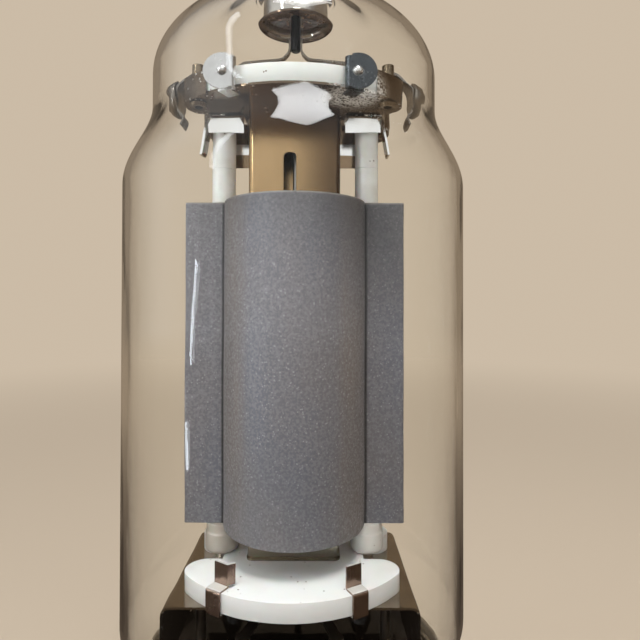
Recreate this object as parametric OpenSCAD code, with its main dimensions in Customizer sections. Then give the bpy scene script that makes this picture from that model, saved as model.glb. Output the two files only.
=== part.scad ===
// Beam power tetrode: graphite anode and wound grids in a shouldered glass bulb,
// with a metal shell base on seven pins and a metal cap on top.
// Z is up, the origin lies at the middle of the pin tips, and the anode's front faces -Y.

/* [Glass bulb] */
// Outer radius of the bulb's body
bulb_r = 31.6; // [31.2:0.1:32.4]
// Outer radius of the narrower dome above the shoulder
dome_r = 26.6; // [26.2:0.1:27.4]
// Outer radius of the neck that sits in the base shell
foot_r = 26.4; // [26:0.1:27]
// Thickness of the glass
glass_t = 1.1; // [1:0.1:1.5]
// Height of the crown of the dome above its straight wall
crown_h = 16.3; // [15:0.1:18]

/* [Base] */
// Length of the pins below the seating plane
pin_len = 15.5; // [14:0.5:16.5]
// Radius of a pin
pin_r = 2.38; // [2.2:0.02:2.5]
// Radius of the circle through the pins' middles
pin_circle_r = 17.5; // [17:0.1:18.5]
// Outer radius of the metal shell
shell_r = 28.9; // [28.6:0.1:29.4]
// Height of the metal shell
shell_h = 29.5; // [28.5:0.5:30]
// Thickness of the shell's sheet
shell_t = 0.7; // [0.5:0.1:0.8]
// Thickness of the insulating wafer that holds the pins
wafer_t = 4.8; // [4:0.2:5.4]

/* [Anode] */
// Height of the anode's lower edge above the pin tips
anode_z = 70; // [70:1:70]
// Height of the graphite block
anode_h = 60.8; // [60:0.1:61]
// Half of the width across the two wings
wing_x = 21; // [20.5:0.1:21.5]
// Thickness of a wing
wing_t = 4; // [3.8:0.1:4.4]
// Outer radius of the round middle
anode_r = 13.6; // [13.4:0.1:14]
// Radius of the bore through the middle
anode_bore_r = 10.9; // [10.6:0.1:11.1]

/* [Ceramic plates] */
// Thickness of both ceramic plates
plate_t = 3.2; // [3:0.1:3.4]
// Radius of the long front and back edges
plate_arc_r = 23.9; // [23.6:0.1:24.2]
// How far that edge's middle point lies beyond the tube's axis
plate_arc_y = 5.5; // [5.3:0.1:5.7]
// Half of the width across the lobes
lobe_x = 19.1; // [18.8:0.1:19.4]
// Half of the width of the notch in each side
notch_y = 4.2; // [4:0.1:4.4]
// Half of the width left between the two notches
neck_x = 13.1; // [12.9:0.1:13.3]
// Gap between the lower plate and the anode, filled by the collars
collar_h = 5.6; // [5.4:0.1:5.8]
// Gap between the anode and the upper shield, filled by the sleeves
sleeve_gap = 16; // [15.5:0.5:16.5]

/* [Rods and sleeves] */
// Distance of the two support rods from the axis
rod_x = 13.9; // [13.7:0.1:14.1]
// Radius of a support rod
rod_r = 1.2; // [1.1:0.05:1.25]
// Outer radius of the ceramic sleeves above the anode
sleeve_r = 2.25; // [2.1:0.05:2.4]
// Height of the short sleeve, up to the seam between the two
sleeve_seam = 6.7; // [5:0.1:8]
// Outer radius of the ceramic collars under the anode
collar_r = 3.25; // [3.1:0.05:3.6]

/* [Beam box and grids] */
// Half of the width of the beam forming box
box_x = 8.6; // [8.4:0.1:8.7]
// Half of its depth
box_y = 4.6; // [4.4:0.1:4.8]
// Thickness of its sheet
box_t = 0.3; // [0.25:0.05:0.35]
// Turns of wire on each grid
grid_turns = 28; // [20:1:30]
// Radius of the grid wire
wire_r = 0.12; // [0.1:0.01:0.15]

/* [Top lead] */
// Outer radius of the metal eyelet that is sealed into the crown
eyelet_r = 6.35; // [6.2:0.05:6.5]
// Radius of its flared lip
lip_r = 7.27; // [7:0.05:7.4]
// Height of that lip above the anode's lower edge
lip_up = 95.7; // [95:0.1:96]
// Radius of the cap
cap_r = 7.2; // [7.1:0.05:7.3]
// Height of the cap
cap_h = 14.6; // [14:0.1:15]
// Radius of the black lead rod
lead_r = 0.92; // [0.85:0.01:0.95]
// Height of the whole tube
tube_h = 190; // [190:1:190]

/* [Hidden] */
$fn = 64;

// Levels up the tube
seat_z = pin_len;
wafer_z = seat_z + shell_t;
shell_top = seat_z + shell_h;
foot_z = 38;
stem_z = 40;
stem_t = 4.5;
stem_top = stem_z + stem_t;
boss_top = stem_top + 2.4;
lower_plate_z = anode_z - collar_h - plate_t;
lower_plate_top = lower_plate_z + plate_t;
anode_top = anode_z + anode_h;
sheet_t = 0.4;
upper_shield_z = anode_top + sleeve_gap;
upper_plate_z = upper_shield_z + sheet_t;
upper_plate_top = upper_plate_z + plate_t;
saddle_top = upper_shield_z;
saddle_t = 0.4;
lip_z = anode_z + lip_up;
cap_z = tube_h - cap_h;

// Heights of the bulb's curves
foot_bend_z = 45.5;
body_low_z = 56;
shoulder_low_z = anode_z + 62.4;
shoulder_top_z = anode_z + 77;
crown_z = anode_z + 82.9;
tube_neck_r = 7.5;
tube_neck_z = crown_z + crown_h + 0.9;

// Small clearances round rods and wires
ease = 0.05;

// Points along an arc, an upright oval and an S bend
function arc(c, r, a0, a1, n = 10) =
    [for (i = [0:n]) c + r * [cos(a0 + (a1 - a0) * i / n), sin(a0 + (a1 - a0) * i / n)]];
function oval(z, a, b, a0, a1, n = 16) =
    [for (i = [0:n]) let (t = a0 + (a1 - a0) * i / n) [a * cos(t), z + b * sin(t)]];
function s_bend(r0, z0, r1, z1, n = 14) =
    [for (i = [0:n]) let (t = i / n) [r0 + (r1 - r0) * (1 - cos(180 * t)) / 2, z0 + (z1 - z0) * t]];

// A path with rounded corners, and the outline of a sheet bent along a path
function unit(v) = v / norm(v);
function turned(v) = [-v[1], v[0]];
function bent(p, r, n = 4) = concat([p[0]],
    [for (i = [1:len(p) - 2])
        let (a = unit(p[i - 1] - p[i]), b = unit(p[i + 1] - p[i]))
        for (k = [0:n])
            let (t = k / n, s = 1 - t)
            s * s * (p[i] + r * a) + 2 * s * t * p[i] + t * t * (p[i] + r * b)],
    [p[len(p) - 1]]);
function rail(p, d) = [for (i = [0:len(p) - 1])
    let (i0 = max(i, 1), i1 = min(i, len(p) - 2),
         a = unit(p[i0] - p[i0 - 1]), b = unit(p[i1 + 1] - p[i1]), m = unit(a + b))
    p[i] + turned(m) * d / (m * a)];
function backwards(p) = [for (i = [len(p) - 1:-1:0]) p[i]];
function sheet(p, t) = concat(rail(p, t / 2), backwards(rail(p, -t / 2)));

// A bent strip whose path lies in the XZ plane and whose width runs along Y
module strip(path, t, w) {
    rotate([90, 0, 0])
        linear_extrude(w, center = true)
            polygon(sheet(path, t));
}

module both_sides() {
    children();
    mirror([1, 0, 0]) children();
}

module rounded_rect(x, y, r) {
    square([2 * x, 2 * (y - r)], center = true);
    square([2 * (x - r), 2 * y], center = true);
    for (sx = [-1, 1], sy = [-1, 1]) translate([sx * (x - r), sy * (y - r)]) circle(r);
}

// The bulb: neck, body, shoulder and crown, drawn up into a short tube round the eyelet
function bulb_wall(in) = concat(
    [[foot_r - in, foot_z]],
    s_bend(foot_r - in, foot_bend_z, bulb_r - in, body_low_z),
    s_bend(bulb_r - in, shoulder_low_z, dome_r - in, shoulder_top_z),
    in == 0
        ? oval(crown_z, dome_r, crown_h, 0, acos((tube_neck_r + 0.9) / dome_r))
        : oval(crown_z, dome_r - in, crown_h - in, 0, acos(eyelet_r / (dome_r - in))));

module glass_envelope() {
    color([0.78, 0.86, 0.84, 0.35])
        rotate_extrude($fn = 128)
            polygon(concat(
                bulb_wall(0),
                arc([tube_neck_r + 1.2, tube_neck_z + 0.6], 1.2, 250, 180, 5),
                [[tube_neck_r, cap_z - 0.6], [tube_neck_r - 0.5, cap_z - 0.1], [eyelet_r, cap_z - 0.1]],
                backwards(bulb_wall(glass_t))));
}

// Seven leads come up through bosses on a pressed glass dish, which closes the bulb
lead_at = [for (i = [0:6]) let (a = 244.3 - i * 360 / 7) pin_circle_r * [cos(a), sin(a)]];
post_r = 0.9;

module dish_stem() {
    dish_r = foot_r - glass_t;
    color([0.72, 0.82, 0.80, 0.5])
        difference() {
            union() {
                rotate_extrude()
                    polygon(concat(
                        [[0, stem_z]],
                        [[dish_r - 2, stem_z], [dish_r - 1.2, stem_z - 1.4], [dish_r, stem_z - 1.8]],
                        [[dish_r, stem_top + 1.2], [dish_r - 1.2, stem_top + 0.2]],
                        [[dish_r - 2.6, stem_top], [0, stem_top]]));
                for (p = lead_at)
                    translate([p[0], p[1], stem_top]) cylinder(r1 = 2.5, r2 = 1.7, h = boss_top - stem_top);
                translate([0, 0, stem_z]) mirror([0, 0, 1]) exhaust_tip();
            }
            for (p = lead_at)
                translate([p[0], p[1], stem_z - 1]) cylinder(r = post_r, h = boss_top - stem_z + 2);
        }
}

module exhaust_tip() {
    rotate_extrude()
        polygon(concat([[0, 0], [4.2, 0], [3.4, 1.2], [3.2, 5]], oval(5, 3.2, 4.6, 0, 90, 8)));
}

// The metal eyelet in the crown, filled by a dished glass bead round the lead rod
eyelet_t = 0.4;

module seal_eyelet() {
    wall_r = eyelet_r - eyelet_t / 2;
    flare = lip_r - wall_r;
    color([0.70, 0.66, 0.60])
        rotate_extrude($fn = 96)
            polygon(sheet(concat(
                arc([lip_r, lip_z + eyelet_t / 2 + flare], flare, 270, 180, 6),
                [[wall_r, cap_z + 9]]), eyelet_t));
}

bead_z = lip_z + 2.2;

module seal_bead() {
    bead_r = eyelet_r - eyelet_t;
    color([0.35, 0.24, 0.16, 0.8])
        rotate_extrude($fn = 96)
            polygon(concat(
                [[lead_r, bead_z + 0.4]],
                [for (i = [0:8]) let (t = i / 8)
                    [lead_r + 0.3 + (bead_r - lead_r - 0.3) * t, bead_z + 1.6 - 1.6 * t * t]],
                [[bead_r, cap_z - 1], [lead_r, cap_z - 1]]));
}

lead_low_z = anode_z + 90.6;

module anode_lead_rod() {
    color([0.08, 0.08, 0.09])
        rotate_extrude()
            polygon([[0, lead_low_z], [lead_r - 0.15, lead_low_z], [lead_r, lead_low_z + 0.15],
                     [lead_r, tube_h - 1.2], [0, tube_h - 1.2]]);
}

module top_cap() {
    wall = cap_r - eyelet_r;
    edge = 1.6;
    color([0.80, 0.78, 0.72])
        rotate_extrude($fn = 96)
            polygon(concat(
                [[eyelet_r, cap_z], [cap_r - 0.2, cap_z], [cap_r, cap_z + 0.2]],
                arc([cap_r - edge, tube_h - 0.6 - edge], edge, 0, 90, 8),
                [[2.6, tube_h - 0.6], [1.8, tube_h], [0, tube_h]],
                [[0, tube_h - 1.2], [lead_r + 0.5, tube_h - 1.2], [cap_r - edge, tube_h - 1.4]],
                [[eyelet_r, tube_h - 1.2 - wall]]));
}

// Metal shell of the base, with its flange, rolled top bead and bayonet pin
module base_shell() {
    bead = 0.6;
    color([0.72, 0.71, 0.68])
        difference() {
            rotate_extrude($fn = 128)
                polygon(concat(
                    [[shell_r - 4, seat_z], [shell_r - 0.8, seat_z]],
                    arc([shell_r - 0.8, seat_z + 0.8], 0.8, 270, 360, 4),
                    [[shell_r, shell_top - 3.2]],
                    arc([shell_r - 0.25, shell_top - bead - 0.2], bead, -60, 180, 10),
                    [[shell_r - shell_t, shell_top - 3], [shell_r - shell_t, wafer_z]],
                    [[shell_r - 4, wafer_z]]));
            translate([0, -shell_r, bayonet_z]) rotate([90, 0, 0])
                cylinder(r = bayonet_r, h = 4, center = true);
        }
}

bayonet_z = seat_z + 9;
bayonet_r = 1.6;

module bayonet_pin() {
    color([0.76, 0.74, 0.70])
        translate([0, 0, bayonet_z]) rotate([90, 0, 0])
            rotate_extrude()
                polygon([[0, shell_r - shell_t - 0.9], [bayonet_r, shell_r - shell_t - 0.9],
                         [bayonet_r, shell_r + 1.7], [bayonet_r - 0.5, shell_r + 2.2], [0, shell_r + 2.2]]);
}

module base_wafer() {
    color([0.88, 0.86, 0.80])
        difference() {
            translate([0, 0, wafer_z]) cylinder(r = shell_r - shell_t, h = wafer_t);
            for (p = lead_at)
                translate([p[0], p[1], wafer_z - 1]) cylinder(r = pin_r - 0.5, h = wafer_t + 2);
        }
}

module base_cement() {
    color([0.62, 0.55, 0.46])
        rotate_extrude($fn = 96)
            polygon([[foot_r, foot_z - 0.5], [foot_r + 0.4, foot_z - 1.6], [shell_r - shell_t, foot_z - 2.4],
                     [shell_r - shell_t, shell_top - 3.4], [foot_r + 0.8, shell_top - 2.2], [foot_r, shell_top - 1.8]]);
}

// Contact pins, riveted through the wafer and filled with solder below the end of their lead
lead_low_end = 10.5;

module base_pin(i) {
    p = lead_at[i - 1];
    shank_r = pin_r - 0.5;
    bore_r = post_r + ease;
    color([0.78, 0.76, 0.72])
        translate([p[0], p[1], 0])
            rotate_extrude()
                polygon(concat(
                    oval(1.9, pin_r, 1.9, -90, 0, 8),
                    [[pin_r, wafer_z], [shank_r, wafer_z], [shank_r, wafer_z + wafer_t]],
                    [[shank_r + 0.7, wafer_z + wafer_t], [shank_r + 0.4, wafer_z + wafer_t + 0.8]],
                    [[bore_r, wafer_z + wafer_t + 0.8], [bore_r, lead_low_end], [0, lead_low_end]]));
}

// Leads from the pins to the cage: 1 and 7 heat the filament, 2 and 6 feed the grids,
// 3 and 5 carry the shield, and 4 reaches its rear lug
link_z = lower_plate_z - 4.2;
link_t = 0.5;
shield_low = lower_plate_z - sheet_t;
lead_top = [link_z, link_z, shield_low, shield_low, shield_low, link_z, link_z];

module stem_lead(i) {
    p = lead_at[i - 1];
    color([0.66, 0.62, 0.56])
        translate([p[0], p[1], lead_low_end]) cylinder(r = post_r, h = lead_top[i - 1] - lead_low_end);
}

// A flat bar with round ends, from one point to another
link_w = 1.7;

module link(p, q) {
    v = q - p;
    translate([p[0], p[1], link_z]) rotate([0, 0, atan2(v[1], v[0])]) {
        translate([0, -link_w / 2, 0]) cube([norm(v), link_w, link_t]);
        cylinder(r = 1.2, h = link_t);
        translate([norm(v), 0, 0]) cylinder(r = link_w / 2, h = link_t);
    }
}

strand_x = 2.6;
screen_x = 6.4;
control_x = 4.6;

module filament_links() {
    color([0.66, 0.62, 0.56]) {
        link(lead_at[0], [-strand_x, 0]);
        link(lead_at[6], [strand_x, 0]);
    }
}

module grid_links() {
    color([0.66, 0.62, 0.56]) {
        link(lead_at[1], [-control_x, 0]);
        link(lead_at[5], [screen_x, 0]);
    }
}

// Folded shield under the lower plate: a flat web with a skirt down each side and behind
skirt_x = 21.6;
web_y = 14;
skirt_h = 11;
rear_skirt_x = skirt_x - 2;

module lower_shield() {
    half = [[0, shield_low + sheet_t / 2], [skirt_x - sheet_t / 2, shield_low + sheet_t / 2],
            [skirt_x - sheet_t / 2, shield_low - skirt_h]];
    path = concat(backwards([for (p = bent(half, 1.4)) if (p[0] > 0) [-p[0], p[1]]]),
                  [for (p = bent(half, 1.4)) if (p[0] > 0) p]);
    color([0.55, 0.50, 0.42])
        difference() {
            union() {
                strip(path, sheet_t, 2 * web_y);
                translate([-rear_skirt_x, web_y - sheet_t, shield_low - skirt_h])
                    cube([2 * rear_skirt_x, sheet_t, skirt_h + sheet_t / 2]);
                translate([-1.8, web_y - 1, shield_low]) cube([3.6, pin_circle_r - web_y + 2.4, sheet_t]);
            }
            both_sides() translate([rod_x, 0, shield_low - 1]) cylinder(r = rod_r + ease, h = 3);
            for (x = [strand_x, control_x, screen_x])
                both_sides() translate([x, 0, shield_low - 1]) cylinder(r = 0.8, h = 3);
            for (i = [3, 4])
                at_edge(i, clip_angle[(i + 1) % 2]) translate([18, -1.6, shield_low - 1]) cube([8, 3.2, 1]);
        }
}

// Outline shared by both ceramic plates: long arcs in front and behind, rounded lobes,
// and a notch in each side. grow moves the edge outwards, for the shield that wraps the upper one.
arc_reach = plate_arc_y + notch_y;
lobe_k = arc_reach - lobe_x + plate_arc_r;
lobe_r = sqrt(lobe_k * lobe_k + plate_arc_r * plate_arc_r - lobe_x * lobe_x - arc_reach * arc_reach) - lobe_k;
lobe_at = [lobe_x - lobe_r, -notch_y - lobe_r];

lobe_turn = atan2(-arc_reach - lobe_r, lobe_at[0]);

function half_outline(g) = concat(
    [[neck_x + g, g - notch_y]],
    arc(lobe_at, lobe_r + g, 90, lobe_turn, 10),
    arc([0, plate_arc_y], plate_arc_r + g, lobe_turn, -180 - lobe_turn, 40),
    arc([-lobe_at[0], lobe_at[1]], lobe_r + g, -180 - lobe_turn, -270, 10),
    [[-neck_x - g, g - notch_y]]);

module plate_outline(grow = 0) {
    polygon(concat(half_outline(grow), [for (p = half_outline(grow)) -p]));
}

module plate_holes(xs, r) {
    for (x = xs) both_sides() translate([x, 0, -1]) cylinder(r = r, h = plate_t + 2);
}

module lower_ceramic() {
    color([0.97, 0.97, 0.95])
        translate([0, 0, lower_plate_z]) difference() {
            linear_extrude(plate_t) plate_outline();
            plate_holes([rod_x], rod_r + ease);
            plate_holes([strand_x], 0.3 + ease);
            plate_holes([control_x, screen_x], 0.5 + ease);
        }
}

eyelet_at = [16.8, -9];
rivet_r = 1.05;

module upper_ceramic() {
    color([0.90, 0.91, 0.89])
        translate([0, 0, upper_plate_z]) difference() {
            linear_extrude(plate_t) plate_outline();
            plate_holes([rod_x], rod_r + ease);
            plate_holes([0], 0.45 + ease);
            plate_holes([control_x, screen_x], 0.5 + ease);
            for (sx = [-1, 1], sy = [-1, 1])
                translate([sx * eyelet_at[0], sy * eyelet_at[1], -1]) cylinder(r = rivet_r, h = plate_t + 2);
        }
}

// Straps that hold the lower plate to its shield, each with a folded tab on top
clip_angle = [31.4, 28.5];
clip_t = 0.35;
tab_h = 3.9;

// Turns a clip drawn along +X to one of four places on the plates' long edges
module at_edge(i, angle) {
    front = i < 3 ? 1 : -1;
    side = i % 2 == 1 ? -1 : 1;
    flip = [0, front < 0 ? 1 : 0, 0];
    mirror(flip) translate([0, plate_arc_y, 0]) rotate([0, 0, -90 + side * angle]) children();
}

module lower_clip(i) {
    h = clip_t / 2;
    out_r = plate_arc_r + h + 0.09;
    tab_x = out_r - 2.1;
    path = bent([[out_r - 4.6, shield_low - h], [out_r, shield_low - h], [out_r, lower_plate_top + h],
                 [tab_x, lower_plate_top + h], [tab_x, lower_plate_top + tab_h]], 0.3, 3);
    color([0.52, 0.42, 0.36])
        at_edge(i, clip_angle[(i + 1) % 2]) {
            strip(path, clip_t, 2.9);
            translate([tab_x + h, 1.45, lower_plate_top + 0.5])
                rotate([0, 0, 150]) cube([1.4, clip_t, tab_h - 0.5]);
        }
}

// Ceramic collars under the anode's wings
module collar() {
    z0 = lower_plate_top;
    round_r = 0.9;
    step_z = anode_z - 1.7;
    color([0.96, 0.96, 0.94])
        translate([rod_x, 0, 0])
            rotate_extrude()
                polygon(concat(
                    [[rod_r + ease, z0], [collar_r - round_r, z0]],
                    arc([collar_r - round_r, z0 + round_r], round_r, 270, 360, 5),
                    [[collar_r, step_z - 0.2], [collar_r - 0.2, step_z], [collar_r - 0.25, anode_z]],
                    [[rod_r + ease, anode_z]]));
}

// One block of graphite: a bored round middle with a drilled wing on each side
module anode() {
    edge = 0.5;
    color([0.40, 0.40, 0.43])
        translate([0, 0, anode_z]) difference() {
            linear_extrude(anode_h) {
                circle(anode_r, $fn = 180);
                rounded_rect(wing_x, wing_t / 2, edge);
            }
            translate([0, 0, -1]) cylinder(r = anode_bore_r, h = anode_h + 2);
            both_sides() translate([rod_x, 0, -1]) cylinder(r = rod_r + ease, h = anode_h + 2);
        }
}

// Steel rods through the wings, headed below the shield and above the upper plate
module support_rod() {
    color([0.60, 0.57, 0.52])
        translate([rod_x, 0, 0])
            rotate_extrude()
                polygon([[0, shield_low - 1.6], [1.5, shield_low - 1.6], [2, shield_low - 1.2],
                         [2, shield_low], [rod_r, shield_low], [rod_r, upper_plate_top],
                         [2.9, upper_plate_top], [2.9, upper_plate_top + 0.5], [1.8, upper_plate_top + 0.5],
                         [1.6, upper_plate_top + 1.6], [0, upper_plate_top + 1.9]]);
}

module sleeve(z0, z1) {
    edge = 0.12;
    color([0.93, 0.93, 0.91])
        translate([rod_x, 0, 0])
            rotate_extrude()
                polygon([[rod_r + ease, z0], [sleeve_r - edge, z0], [sleeve_r, z0 + edge],
                         [sleeve_r, z1 - edge], [sleeve_r - edge, z1], [rod_r + ease, z1]]);
}

// Folded sheet saddles over the sleeves: a flange outside, a splayed flap behind, and one
// in front that leans in
saddle_x = 12.9;
saddle_y = 3.7;

module saddle() {
    top = saddle_top - saddle_t / 2;
    half_w = 2.7;
    web_half = saddle_y - 0.5;
    flange_half = 1.8;
    outer = [[saddle_x - half_w, top], [saddle_x + 3.7, top], [saddle_x + 5, top - 6.6]];
    color([0.62, 0.58, 0.52])
        difference() {
            union() {
                translate([saddle_x - half_w, -web_half, saddle_top - saddle_t])
                    cube([half_w + 3.2, 2 * web_half, saddle_t]);
                translate([0, flange_half - web_half, 0])
                    strip(bent(outer, 0.5), saddle_t, 2 * flange_half);
                translate([saddle_x - 0.4, 0, top]) rotate([0, 0, 90]) flap(saddle_y, 7.4, 14, 3.9);
                translate([saddle_x, 0, top]) rotate([0, 0, -90]) flap(saddle_y + 0.3, 2.9, -9, 3.35);
            }
            translate([rod_x, 0, saddle_top - 2]) cylinder(r = rod_r + ease, h = 3);
        }
}

// A flap that leaves the web at a distance, leans by an angle and widens downwards
module flap(distance, drop, splay, half_w) {
    path = [[0, 0], [distance, 0], [distance + drop * tan(splay), -drop]];
    intersection() {
        strip(bent(path, 0.5), saddle_t, 2 * half_w);
        rotate([0, 90, 0]) linear_extrude(distance + drop + 1)
            polygon([[-1, 2.6 - half_w * 2], [-1, half_w * 2 - 2.6], [0.4, half_w - 0.7], [1.6, half_w],
                     [drop + 1, half_w], [drop + 1, -half_w], [1.6, -half_w], [0.4, 0.7 - half_w]]);
    }
}

// Polished shield under the upper plate, turned up round the ends of the lobes
module lobe_ends(grow) {
    both_sides() intersection() {
        plate_outline(grow);
        translate([14.2, -15]) square([10, 30]);
    }
}

module upper_shield() {
    wall_top = upper_plate_top + 0.7;
    color([0.50, 0.44, 0.37])
        difference() {
            union() {
                translate([0, 0, upper_shield_z]) linear_extrude(sheet_t) plate_outline();
                difference() {
                    translate([0, 0, upper_shield_z]) linear_extrude(wall_top - upper_shield_z)
                        lobe_ends(sheet_t);
                    translate([0, 0, upper_plate_z]) linear_extrude(10) plate_outline(0.02);
                    translate([0, 0, upper_plate_z + 15]) cube([60, 2 * notch_y + 1, 30], center = true);
                }
            }
            both_sides() translate([rod_x, 0, upper_shield_z - 1]) cylinder(r = rod_r + ease, h = 3);
            translate([0, 0, upper_shield_z - 1]) cylinder(r = 1, h = 3);
            for (x = [control_x, screen_x])
                both_sides() translate([x, 0, upper_shield_z - 1]) cylinder(r = 0.8, h = 3);
            for (sx = [-1, 1], sy = [-1, 1])
                translate([sx * eyelet_at[0], sy * eyelet_at[1], upper_shield_z - 1])
                    cylinder(r = rivet_r, h = 3);
        }
}

// Straps on the upper plate's long edges: a round tab, folded once and riveted
upper_clip_angle = 26.6;
tab_r = 3;
tab_mid = 0.95;
fold_y = 1.7;

module upper_clip(i) {
    mid_z = upper_plate_top - 1.45;
    out_x = plate_arc_r + 1.5;
    leaf_x = plate_arc_r + 0.04;
    side = i % 2 == 1 ? 1 : -1;
    flip = [0, side < 0 ? 1 : 0, 0];
    color([0.66, 0.68, 0.70])
        at_edge(i, upper_clip_angle) mirror(flip) {
            translate([out_x, fold_y, mid_z]) rotate([0, 0, upper_clip_angle])
                translate([0, -tab_mid, 0]) rotate([0, 90, 0]) round_tab();
            translate([(leaf_x + out_x + clip_t) / 2, fold_y - 0.05, mid_z - 2.6])
                fold_bend((out_x + clip_t - leaf_x) / 2, 5.2);
            translate([leaf_x, -1.2, upper_shield_z - clip_t]) cube([clip_t, 1.2 + fold_y, 5.2]);
            translate([leaf_x - 2.4, -1.2, upper_shield_z - clip_t]) cube([2.4 + clip_t, 2.4, clip_t]);
        }
}

module round_tab() {
    linear_extrude(clip_t) intersection() {
        circle(tab_r);
        translate([-tab_r, -tab_r]) square([2 * tab_r, tab_r + tab_mid]);
    }
    translate([0, 0, -1.8]) cylinder(r = 0.6, h = 1.9);
    translate([0, 0, clip_t]) rivet_head();
}

module fold_bend(r, h) {
    difference() {
        cylinder(r = r, h = h);
        translate([0, 0, -1]) cylinder(r = r - clip_t, h = h + 2);
        translate([-5, -10, -1]) cube([10, 10, h + 2]);
    }
}

module rivet_head() {
    rotate_extrude()
        polygon(concat([[0, 0]], oval(0, 0.85, 0.7, 0, 90, 6)));
}

// Hollow rivets through the lobes, which also hold the snubber springs
module upper_eyelets() {
    color([0.62, 0.52, 0.38])
        for (sx = [-1, 1], sy = [-1, 1])
            translate([sx * eyelet_at[0], sy * eyelet_at[1], 0])
                rotate_extrude()
                    polygon([[rivet_r - 0.3, upper_shield_z - 0.5], [rivet_r + 0.5, upper_shield_z - 0.6],
                             [rivet_r + 0.7, upper_shield_z], [rivet_r, upper_shield_z],
                             [rivet_r, upper_plate_top + 3.4], [rivet_r - 0.3, upper_plate_top + 3.4]]);
}

// Springs that steady the cage against the dome: a bow over the notch, a tongue
// with an S bend, and a dished pad against the glass
snub_t = 0.35;
bow_x = eyelet_at[0];
bow_top = upper_plate_top + 5.2;

module snubber() {
    pad_out = dome_r - glass_t - 0.05;
    pad_z = upper_plate_top + 0.6;
    foot = snub_t / 2 + upper_plate_top;
    bow = [[-9.9, foot], [-7, foot], [-3.6, bow_top], [3.6, bow_top], [7, foot], [9.9, foot]];
    tongue = [[bow_x - 1.2, bow_top], [bow_x + 2.6, bow_top], [22.6, bow_top - 3.2], [22.9, pad_z - 2.4],
              [21.5, pad_z - 3.7], [22.2, pad_z - 5.2]];
    color([0.58, 0.54, 0.48])
        difference() {
            union() {
                translate([bow_x, 0, 0]) rotate([0, 0, 90]) strip(bent(bow, 1.2), snub_t, 3);
                strip(bent(tongue, 0.9), snub_t, 4.4);
                translate([22.8, 0, pad_z]) rotate([0, 90, 0]) dished_pad(pad_out - 22.8);
            }
            for (sy = [-1, 1])
                translate([bow_x, sy * eyelet_at[1], upper_plate_top - 1]) cylinder(r = rivet_r, h = 4);
        }
}

module dished_pad(out) {
    pad_r = 3.3;
    rotate_extrude()
        polygon(concat(oval(0, pad_r, out, 0, 90, 8), [[0, out - snub_t]],
                       backwards(oval(0, pad_r - snub_t, out - snub_t, 0, 89, 8))));
}

// Ribbon pair that clasps the lead rod and runs out to the plate on both sides
module anode_strap() {
    h = 0.175;
    run_z = anode_z + 88.9;
    leg_x = 10.4;
    path = bent([[lead_r + h, lead_low_z + 2.4], [lead_r + h, run_z + 1.5], [lead_r + 1.6, run_z],
                 [leg_x, run_z - 0.7], [leg_x + 1, run_z - 2.4], [leg_x, upper_plate_top + h],
                 [leg_x - 3.2, upper_plate_top + h]], 0.8, 4);
    color([0.36, 0.32, 0.27])
        both_sides() strip(path, 2 * h, 1.4);
}

// Folded sheet box round the grids, open in front and behind between them and the anode
slot_x = -0.8;

module beam_box() {
    window_low = anode_z + 5;
    window_h = anode_h - 10;
    slot_top = anode_top + 8;
    slot_r = 1.2;
    color([0.66, 0.58, 0.46])
        translate([0, 0, lower_plate_top]) difference() {
            union() {
                linear_extrude(upper_shield_z - lower_plate_top) rounded_rect(box_x, box_y, 1.2);
                linear_extrude(box_t) rounded_rect(box_x + 0.1, box_y + 0.45, 1.3);
            }
            translate([0, 0, -1]) linear_extrude(upper_shield_z - lower_plate_top + 2)
                rounded_rect(box_x - box_t, box_y - box_t, 0.9);
            translate([-6, -10, window_low - lower_plate_top]) cube([12, 20, window_h]);
            translate([slot_x - slot_r, -10, anode_top - 2.5 - lower_plate_top])
                cube([2 * slot_r, 10, slot_top - anode_top + 2.5]);
            translate([slot_x, -5, slot_top - lower_plate_top]) rotate([90, 0, 0])
                cylinder(r = slot_r, h = 5, center = true);
        }
}

// A grid: two posts with an oval helix of wire that rests on their outer sides
wind_low = anode_z + 3;
wind_h = anode_h - 6;
turn_steps = 14;

function wind_point(a, b, k) =
    let (t = 360 * k / turn_steps)
    [a * cos(t), b * sin(t), wind_low + wind_h * k / (turn_steps * grid_turns)];
function wind_ring(a, b, k) =
    let (t = 360 * k / turn_steps, p = wind_point(a, b, k), n = unit([cos(t) / a, sin(t) / b]))
    [for (q = [45:90:315]) p + wire_r * [cos(q) * n[0], cos(q) * n[1], sin(q)]];

module winding(a, b) {
    last = turn_steps * grid_turns;
    points = [for (k = [0:last]) each wind_ring(a, b, k)];
    sides = [for (k = [0:last - 1], q = [0:3])
        let (c = 4 * k + q, d = 4 * k + (q + 1) % 4) [c, d, d + 4, c + 4]];
    ends = [[for (q = [3:-1:0]) q], [for (q = [0:3]) 4 * last + q]];
    polyhedron(points, concat(sides, ends), convexity = 8);
}

module grid(x, b, post, low, low_other) {
    translate([x, 0, low]) cylinder(r = post, h = upper_plate_top + 1.5 - low);
    translate([-x, 0, low_other]) cylinder(r = post, h = upper_plate_top + 1.5 - low_other);
    winding(x + post + wire_r + 0.01, b);
}

post_low = link_z + link_t;
post_high = shield_low - 0.8;

module screen_grid() {
    color([0.50, 0.50, 0.50]) grid(screen_x, 3.4, 0.5, post_low, post_high);
}

module control_grid() {
    color([0.46, 0.46, 0.48]) grid(control_x, 2.2, 0.45, post_high, post_low);
}

// Heater: one wire in an M, hung from two hooks
strand_r = 0.28;
inner_strand_x = 0.9;
loop_z = anode_top - 4;
loop_low = anode_z + 3;

module half_loop(x, z, r, up) {
    translate([x, 0, z]) rotate([90, 0, 0]) rotate([0, 0, up ? 0 : 180])
        rotate_extrude(angle = 180) translate([r, 0]) circle(strand_r, $fn = 24);
}

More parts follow.
